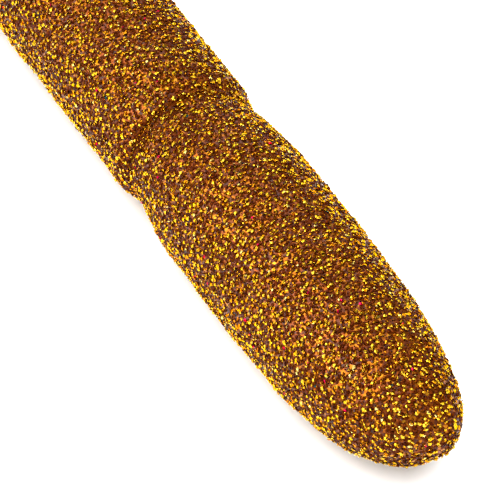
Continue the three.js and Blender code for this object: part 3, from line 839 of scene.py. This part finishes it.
class RIBBON_OT_rod(bpy.types.Operator):
    """Builds the tapered rod, its sparse flakes and the tape band in front of the sleeve"""

    bl_idname = "ribbon_stick.rod"
    bl_label = "Rod and Band"

    def execute(self, context):
        sizes, look = context.scene.rod_sizes, context.scene.glitter_look
        band_start, band_end = on_stick("grip_band", 0), on_stick("grip_band", 1)
        ferrule = on_stick("tip_ferrule", 0)
        rod_end = on_stick("shaft_rod", 1)
        shoulder = on_stick("grip_sleeve", 0) + SHOULDER_INSIDE
        thin, thick = sizes.spigot_radius, sizes.grip_radius
        t = np.linspace(band_end, ferrule, 220)
        outline = np.vstack([
            [(sizes.spigot_start, 0), (sizes.spigot_start, thin), (shoulder, thin), (shoulder, thick)],
            straight((shoulder, thick), (band_end, thick), 30),
            np.stack([t, rod_radius(sizes, t)], 1),
            [(rod_end, sizes.tip_radius), (rod_end, 0)],
        ])
        lacquer = glitter_lacquer("gold_glitter_lacquer", GOLD_STOPS)
        put(revolve("rod", STICK, outline, 48), lacquer, "stick", "rod_coat", "shaft_rod")
        flakes(
            "rod_glitter", "rod_coat", look, top_foils(look), lambda t: rod_radius(sizes, t), band_end,
            ferrule, look.rod_spacing, look.seed + 40,
        )

        # Each turn of the tape laps the last, so its height is a saw tooth across the pitch.
        sleeve_front = context.scene.handle_sizes.front_radius
        step = on_stick("grip_sleeve", 1)
        t = np.linspace(band_start, band_end, 150)
        drop = np.clip((t - step) / BAND_FALL, 0, 1)
        drop = drop * drop * (3 - 2 * drop)
        over = sleeve_front + (sizes.grip_radius - sleeve_front) * drop + BAND_OVER
        inner = over - BAND_DEPTH

        def wound(t, a):
            tooth = ((t - band_start) / sizes.tape_pitch + a / TAU) % 1
            return sizes.tape * tooth * (t > band_start) * (t < band_end)

        outline = np.vstack([np.stack([t, over], 1), np.stack([t, inner], 1)[::-1]])
        outer_only = np.arange(len(outline)) < len(t)
        band = revolve(
            "grip_band_tape", STICK, outline, 96, closed=True,
            swell=lambda t, a: wound(t, a) * outer_only[:, None],
        )
        tape = metal("metallised_film_tape", context.scene.metal_look)
        put(band, tape, "stick", "band", "grip_band")
        return {"FINISHED"}


# ---- The metal tip, the ring and the swivel ----


def eye_path(sizes, shank_start, loop_at):
    """A shank along the axis that bends up into a loop round (loop_at, 0) and comes back to butt on itself.

    The bend is an arc that touches the shank's line and the loop's circle. Rows are (along, level, up).
    """
    loop, turn_in = sizes.eye_loop, sizes.eye_bend
    reach = math.sqrt(loop**2 + 2 * loop * turn_in)
    meet = math.atan2(turn_in, reach)
    bend_angle = np.linspace(-math.pi / 2, -meet, 8)[1:]
    last = math.pi + math.asin(min(1, 2 * sizes.eye_wire / loop))
    round_angle = np.linspace(math.pi - meet, last - TAU, 60)[1:]
    shank = np.linspace(shank_start, loop_at - reach, 12)
    along = np.concatenate(
        [shank, loop_at - reach + turn_in * np.cos(bend_angle), loop_at + loop * np.cos(round_angle)]
    )
    up = np.concatenate(
        [np.zeros(12), turn_in + turn_in * np.sin(bend_angle), loop * np.sin(round_angle)]
    )
    return np.stack([along, np.zeros(len(along)), up], 1)


def rivet(name, place, dome, half, radius):
    """A round shank centred on a place, with the same domed head at both ends."""
    outline = np.vstack([dome[::-1] * (-1, 1), [(-half, radius), (half, radius)], dome])
    return revolve(name, place, outline, 32)


LIP_STEP = 0.1 * MM  # from the flat rear face out to the ferrule's outside
PLAIN_END = 4.2 * MM  # from the front to the plain part
LINES = (3.6 * MM, 2.6 * MM)  # from the front to each turned line
LINE_HALF, LINE_DEPTH = 0.35 * MM, 0.16 * MM
HOLE_EDGE = 0.15 * MM  # rounding of the eye's hole
PIN_DOME = 0.28 * MM


class RIBBON_OT_tip(bpy.types.Operator):
    """Builds the ferrule, its rivet and the wire eye in it"""

    bl_idname = "ribbon_stick.tip"
    bl_label = "Metal Tip"

    def execute(self, context):
        sizes, metals = context.scene.fitting_sizes, context.scene.metal_look
        nickel = metal("bright_nickel_plate", metals)
        start, end = on_stick("tip_ferrule", 0), on_stick("tip_ferrule", 1)
        radius, bore, rounding = sizes.ferrule_radius, sizes.ferrule_bore, sizes.nose_rounding
        shank = sizes.eye_wire + CLEAR
        half_bead = sizes.bead_length / 2
        outline = np.vstack([
            [(start, bore), (start, radius - LIP_STEP)],
            bend(start + half_bead, radius, half_bead, sizes.bead, 180, 0, 12),
            straight((start + 2 * half_bead, radius), (end - PLAIN_END, radius), 10),
            *(bend(end - back, radius, LINE_HALF, -LINE_DEPTH, 180, 0) for back in LINES),
            bend(end - rounding, radius - rounding, rounding, rounding, 90, 0),
            bend(end - HOLE_EDGE, shank + HOLE_EDGE, HOLE_EDGE, HOLE_EDGE, 0, -90, 3),
            [(end - sizes.end_wall, shank), (end - sizes.end_wall, bore)],
        ])
        put(revolve("ferrule", STICK, outline, 96, closed=True), nickel, "stick", "nickel", "tip_ferrule")

        reach = math.sqrt(radius**2 - sizes.pin_head**2)
        dome = bend(reach, 0, radius - reach + PIN_DOME, sizes.pin_head, 90, 0)
        across = Place(middle("ferrule_pin"), (0, 1, 0))
        pin = rivet("ferrule_rivet", across, dome, reach, sizes.pin_radius)
        put(pin, nickel, "stick", "nickel", "ferrule_pin")

        loop_at = on_stick("tip_eye", 1) - sizes.eye_wire - sizes.eye_loop
        path = eye_path(sizes, on_stick("tip_eye", 0) + sizes.eye_wire, loop_at)
        eye = sweep("tip_eye_wire", STICK, path, sizes.eye_wire, (0, 1, 0), 24)
        put(eye, metal("plated_steel_wire", metals), "stick", "wire", "tip_eye")
        return {"FINISHED"}


class RIBBON_OT_ring(bpy.types.Operator):
    """Builds the split ring that joins the tip's eye to the swivel"""

    bl_idname = "ribbon_stick.ring"
    bl_label = "Split Ring"

    def execute(self, context):
        sizes = context.scene.fitting_sizes
        radius = np.linalg.norm(SWIVEL_AT - RING_AT) / 2
        # Two flat turns, one over the other, joined by a short step beside the ends.
        a = np.linspace(sizes.ring_ends, 2 * TAU - sizes.ring_ends, 260)
        rise = np.clip((a - TAU + sizes.ring_step) / (2 * sizes.ring_step), 0, 1)
        rise = rise * rise * (3 - 2 * rise) - 0.5
        turn = a - math.pi / 2
        path = np.stack([radius * (1 + np.cos(turn)), radius * np.sin(turn), sizes.ring_pitch * rise], 1)
        ring = sweep("split_ring_wire", RING, path, sizes.ring_wire, (0, 0, 1), 16)
        put(ring, metal("plated_steel_wire", context.scene.metal_look), "ring", "wire", "split_ring")
        return {"FINISHED"}


WIRE_ROOM = 0.08 * MM  # round the wire in the barrel's bore
CHAMFER = 0.1 * MM  # on that bore's mouth
LIP = 0.15 * MM  # from the barrel's flat end out to its mouth's radius
WAIST = 0.5 * MM  # from a shoulder to the turned line beside it
WAIST_HALF, WAIST_DEPTH = 0.22 * MM, 0.1 * MM
EDGE = 0.08 * MM  # rounding of the washers and the eyes' heads
WASHER = 0.4 * MM
HEAD_ROOM = 0.4 * MM  # round an eye's head
NECK_END = 1.1 * MM  # from the loop's wire to the end of the fillet
NECK_LONG, NECK_HIGH = 0.9 * MM, 0.4 * MM  # the fillet
SUNK = 0.1 * MM  # of the shank, inside the loop


class RIBBON_OT_swivel(bpy.types.Operator):
    """Builds the swivel: two headed eyes on washers in a brass barrel"""

    bl_idname = "ribbon_stick.swivel"
    bl_label = "Barrel Swivel"

    def execute(self, context):
        sizes, metals = context.scene.fitting_sizes, context.scene.metal_look
        brass, wire = metal("turned_brass", metals), metal("plated_steel_wire", metals)
        start, end = (c[0] - SWIVEL_AT[0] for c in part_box("swivel_barrel"))
        radius, mouth, wall = sizes.barrel_radius, sizes.barrel_mouth, sizes.barrel_wall
        bore, cavity, end_wall = sizes.link_wire + WIRE_ROOM, radius - wall, sizes.barrel_end_wall
        shoulder, flat = 2 * (radius - mouth), mouth - LIP

        def half(at, way):
            """From the bore out to the waist of one end, way being 1 or -1 along the axis."""
            return np.vstack([
                [(at + way * end_wall, cavity), (at + way * end_wall, bore)],
                [(at + way * CHAMFER, bore), (at, bore + CHAMFER), (at, flat)],
                bend(at + way * shoulder, flat, -way * shoulder, radius - mouth + LIP, 0, 90, 12),
                bend(at + way * (shoulder + WAIST), radius, -way * WAIST_HALF, -WAIST_DEPTH, 0, 180, 6),
            ])

        outline = np.vstack([half(start, 1), half(end, -1)[::-1]])
        shell = revolve("barrel_shell", SWIVEL, outline, 64, closed=True)
        put(shell, brass, "barrel", "brass", "swivel_barrel")

        for side in ("upper", "lower"):
            node, name = f"{side}_washer", f"{side}_thrust_washer"
            low, high = (c[0] - SWIVEL_AT[0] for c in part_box(node))
            outer = (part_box(node)[1][1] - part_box(node)[0][1]) / 2
            outline = np.vstack([
                bend(low + EDGE, outer - EDGE, -EDGE, EDGE, 0, 90, 3),
                bend(high - EDGE, outer - EDGE, EDGE, EDGE, 90, 0, 3),
                [(high, bore), (low, bore)],
            ])
            put(revolve(name, SWIVEL, outline, 40, closed=True), brass, "barrel", "brass", node)

        head_start = start + end_wall + WASHER + 2 * sizes.gap
        head_radius = cavity - HEAD_ROOM
        for body, at, way in (("upper_eye", SWIVEL_AT, 1), ("lower_eye", HOOK_AT, -1)):
            place = Place(at, way * SWIVEL.axes[0])
            eye = swivel_eye(f"{body}_wire", place, sizes, head_start, head_radius)
            put(eye, wire, body, "wire", f"swivel_{body}")
        return {"FINISHED"}


def swivel_eye(name, place, sizes, head_start, head_radius):
    """A closed wire loop with a neck, a shank and a headed end, as one piece of two closed skins.

    The loop is a circle swept by a circle. The shank is a turned outline that widens like a fillet where it
    leaves the loop, and ends in a domed head.
    """
    turn = np.arange(72) / 72 * TAU
    path = np.stack([sizes.link_loop * np.cos(turn), 0 * turn, sizes.link_loop * np.sin(turn)], 1)
    loop = sweep(name, place, path, sizes.link_wire, (0, 1, 0), 20, domed=False)
    near, wire = sizes.link_loop, sizes.link_wire
    neck = bend(near + NECK_END, wire + NECK_HIGH, NECK_LONG, NECK_HIGH, 180, 270, 8)
    outline = np.vstack([
        [(near - SUNK, 0)], neck, [(head_start, wire)],
        bend(head_start + EDGE, head_radius - EDGE, -EDGE, EDGE, 0, 90, 3),
        bend(head_start + sizes.head * 0.5, 0, sizes.head * 0.5, head_radius, 90, 0, 10),
    ])
    shank = revolve(name + "_shank", place, outline, 32)
    together = bmesh.new()
    together.from_mesh(loop.data)
    together.from_mesh(shank.data)
    together.to_mesh(loop.data)
    together.free()
    bpy.data.objects.remove(shank)
    smooth(loop)
    return loop


# ---- The snap hook ----


SPRING_BENDS = 1.35 * MM  # from the lever's pivot to where the leaf spring starts to bend


class RIBBON_OT_hook(bpy.types.Operator):
    """Builds the snap hook: cast body, lever, rivet and leaf spring"""

    bl_idname = "ribbon_stick.hook"
    bl_label = "Snap Hook"

    def execute(self, context):
        sizes, metals = context.scene.hook_sizes, context.scene.metal_look
        nickel = metal("bright_nickel_plate", metals)
        body = copy_of("snap_body", "hook_body", sizes.body_rounding, 4)
        put(body, nickel, "snap", "nickel", "snap_body")
        lever = copy_of("snap_lever", "hook_lever", sizes.lever_rounding)
        put(lever, nickel, "lever", "nickel", "snap_lever")

        low, high = corners("lever_rivet")
        radius, half = (high - low)[1] / 2, (high - low)[2] / 2
        dome = bend(half, 0, sizes.rivet_dome, sizes.rivet_head, 90, 0)
        pin = rivet("hook_rivet", Place(middle("lever_rivet"), LEVER_AXIS), dome, half, radius)
        put(pin, nickel, "snap", "nickel", "lever_rivet")

        spring = copy_of("lever_spring", "hook_spring", sizes.spring_rounding, 2)
        spring.data.materials.append(metal("rolled_spring_steel", metals))
        low, high = corners("lever_spring")
        bend_at = HOOK.world((LEVER_AT - HOOK_AT) @ HOOK.axes.T + (SPRING_BENDS, 0, 0))
        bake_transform(spring)
        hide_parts("lever_spring")
        return {"FINISHED"}


# ---- The stage ----


FLOOR_REACH = 6.0  # metres to each side
ROOM = 0.32  # brightness of the white room
# Each lamp's offset from the handle and width, in metres, its watts, and whether it lights matt surfaces
# and is mirrored in bright ones.
LAMPS = {
    "overhead": ((-0.5, 0.5, 2.0), 3.4, 240, True, False),
    "left_box": ((0.8, 1.8, 1.4), 2.8, 165, False, True),
    "back_box": ((1.9, -0.5, 1.9), 2.9, 60, False, True),
    "front_box": ((-0.9, 0.45, 2.2), 1.6, 17, False, True),
}


def softbox(name, aim, offset, width, watts, diffuse, glossy):
    """A square lamp at an offset from what it is aimed at, itself out of sight."""
    light = bpy.data.lights.new(name, "AREA")
    light.shape = "SQUARE"
    light.size = width
    light.energy = watts
    made = bpy.data.objects.new(name, light)
    made.location = Vector(aim) + Vector(offset)
    made.rotation_mode = "QUATERNION"
    made.rotation_quaternion = (-Vector(offset)).to_track_quat("-Z", "Y")
    made.visible_camera = False
    made.visible_diffuse = diffuse
    made.visible_glossy = glossy
    bpy.context.collection.objects.link(made)


class RIBBON_OT_stage(bpy.types.Operator):
    """Sets the floor, the soft lights, the pale room and the camera"""

    bl_idname = "ribbon_stick.stage"
    bl_label = "Stage"

    def execute(self, context):
        look, scene = context.scene.stage_look, context.scene
        card, tree, shader, where = finish("matt_card", Roughness=0.95, Specular_IOR_Level=0.0)
        tint = mixed(tree, noise(tree, where, 1.5 * MM), tuple(look.floor), srgb("F3F3F3"))
        tree.links.new(tint, shader.inputs["Base Color"])
        x, z = np.array(CAD_BOX).mean(0)[0], CAD_BOX[0][2]
        ways = ((-1, -1), (1, -1), (1, 1), (-1, 1))
        square = [(x + i * FLOOR_REACH, j * FLOOR_REACH, z) for i, j in ways]
        floor = new_piece("floor", square, [np.array([[0, 1, 2, 3]])])
        floor.data.materials.append(card)

        handle = STICK.world((look.look_at, 0, 0))
        for name, settings in LAMPS.items():
            softbox(name, handle, *settings)
        world = bpy.data.worlds.new("pale_room")
        world.use_nodes = True
        background = world.node_tree.nodes["Background"].inputs
        background["Color"].default_value = (1, 1, 1, 1)
        background["Strength"].default_value = ROOM
        scene.world = world
        scene.view_settings.view_transform = "Standard"

        camera = bpy.data.objects.new("camera", bpy.data.cameras.new("camera"))
        context.collection.objects.link(camera)
        turn = math.pi - look.view_turn
        level = math.cos(look.view_rise)
        back = Vector((level * math.cos(turn), level * math.sin(turn), math.sin(look.view_rise)))
        facing = (-back).to_track_quat("-Z", "Y")
        right, up = facing @ Vector((1, 0, 0)), facing @ Vector((0, 1, 0))
        target = Vector(handle) - right * look.look_left - up * look.look_down
        camera.location = target + back * look.view_distance
        camera.rotation_mode = "QUATERNION"
        camera.rotation_quaternion = facing
        camera.data.lens = camera.data.sensor_width * look.view_distance / look.view_width
        camera.data.clip_start, camera.data.clip_end = 0.01, 50
        scene.camera = camera
        return {"FINISHED"}


# ---- The panel and the run ----

GROUPS = {
    "handle_sizes": HandleSizes,
    "rod_sizes": RodSizes,
    "fitting_sizes": FittingSizes,
    "hook_sizes": HookSizes,
    "glitter_look": GlitterLook,
    "metal_look": MetalLook,
    "stage_look": StageLook,
}
OPERATORS = (
    RIBBON_OT_handle,
    RIBBON_OT_rod,
    RIBBON_OT_tip,
    RIBBON_OT_ring,
    RIBBON_OT_swivel,
    RIBBON_OT_hook,
    RIBBON_OT_stage,
)


class RIBBON_PT_panel(bpy.types.Panel):
    """Lists the pieces and the sizes and colours behind them"""

    bl_idname = "RIBBON_PT_panel"
    bl_label = "Ribbon Stick"
    bl_space_type = "VIEW_3D"
    bl_region_type = "UI"
    bl_category = "Ribbon Stick"

    def draw(self, context):
        for operator in OPERATORS:
            self.layout.operator(operator.bl_idname)
        for name, group in GROUPS.items():
            box = self.layout.box()
            for key in group.__annotations__:
                box.prop(getattr(context.scene, name), key)


def register():
    for group in GROUPS.values():
        for key, prop in group.__annotations__.items():
            prop.keywords["name"] = key.replace("_", " ").capitalize()
    for cls in (*GROUPS.values(), *OPERATORS, RIBBON_PT_panel):
        bpy.utils.register_class(cls)
    for name, group in GROUPS.items():
        setattr(bpy.types.Scene, name, bpy.props.PointerProperty(type=group))


def unregister():
    for name in GROUPS:
        delattr(bpy.types.Scene, name)
    for cls in (RIBBON_PT_panel, *reversed(OPERATORS), *reversed(GROUPS.values())):
        bpy.utils.unregister_class(cls)


def main():
    register()
    for operator in OPERATORS:
        getattr(bpy.ops.ribbon_stick, operator.bl_idname.partition(".")[2])()


if __name__ == "__main__":
    main()
